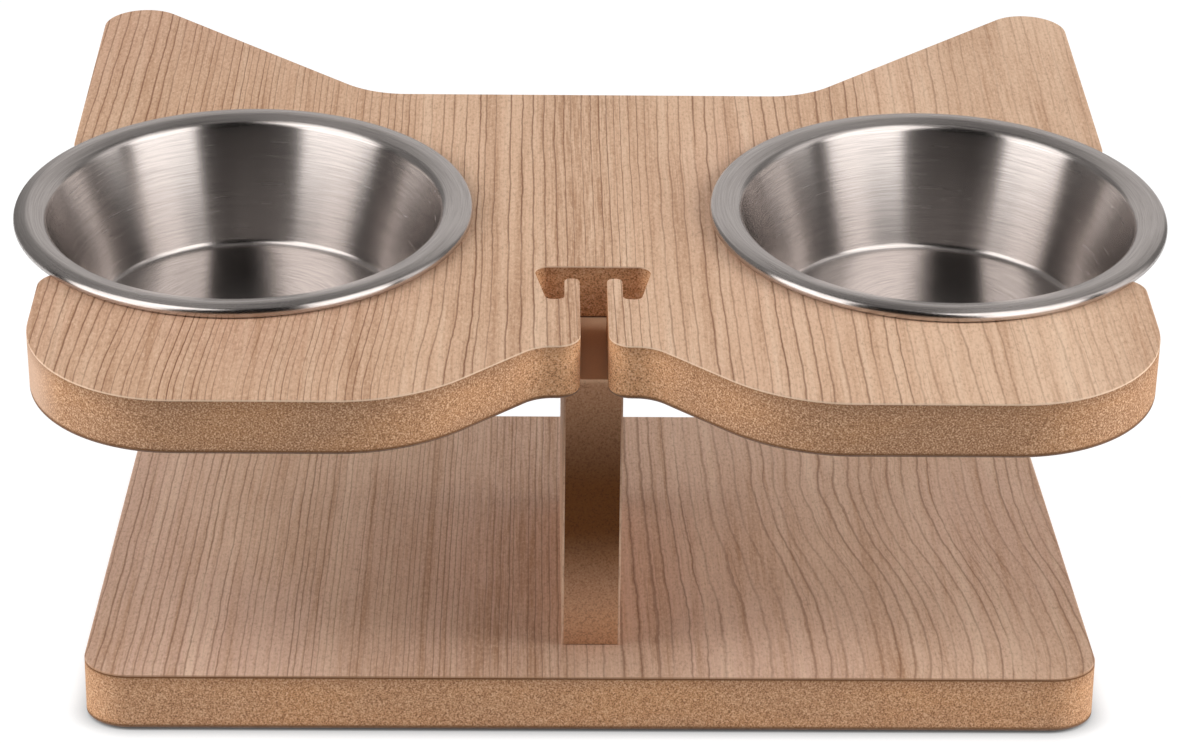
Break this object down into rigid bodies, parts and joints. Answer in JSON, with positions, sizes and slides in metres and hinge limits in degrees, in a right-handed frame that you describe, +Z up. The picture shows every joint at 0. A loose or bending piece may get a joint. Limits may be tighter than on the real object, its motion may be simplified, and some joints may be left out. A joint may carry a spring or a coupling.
{
  "type": "raised pet feeding stand",
  "caption": "Raised pet feeding stand: a flat base and an upright post carry a tilted, ear-shaped top that holds lift-out steel dishes.",
  "frame": {"origin": "on the floor, below the middle of the stand's overall box", "axes": "+X to the right as seen from the front, +Y to the back where the ears are, +Z up"},
  "size_m": [0.365, 0.283, 0.1547],
  "materials": {
    "wood_face": "matte wood face with fine front-to-back grain",
    "fibreboard": "raw sawn fibreboard edge",
    "steel": "satin, brushed round the dish",
    "pad": "matte",
    "zinc": "zinc plated",
    "dowel_wood": "plain hardwood",
    "cap_plastic": "matte, coloured to match the wood face"
  },
  "bodies": {
    "stand": {"base_core": "fibreboard", "base_face_veneer": "wood_face", "base_underside_veneer": "wood_face", "post_core": "fibreboard", "post_left_veneer": "wood_face", "post_right_veneer": "wood_face", "top_core": "fibreboard", "top_face_veneer": "wood_face", "top_underside_veneer": "wood_face", "front_left_foot": "pad", "front_right_foot": "pad", "rear_left_foot": "pad", "rear_right_foot": "pad", "base_screws": "zinc", "base_dowels": "dowel_wood", "top_dowels": "dowel_wood", "cam_bolts": "zinc", "cam_locks": "zinc", "cam_caps": "cap_plastic"},
    "left_bowl": {"left_bowl": "steel"},
    "right_bowl": {"right_bowl": "steel"}
  },
  "joints": [
    {"name": "left_bowl_lift", "type": "slide", "parent": "stand", "child": "left_bowl", "axis": [0, -0.1219, 0.9925], "range_m": [0, 0.06]},
    {"name": "right_bowl_lift", "type": "slide", "parent": "stand", "child": "right_bowl", "axis": [0, -0.1219, 0.9925], "range_m": [0, 0.06]}
  ]
}
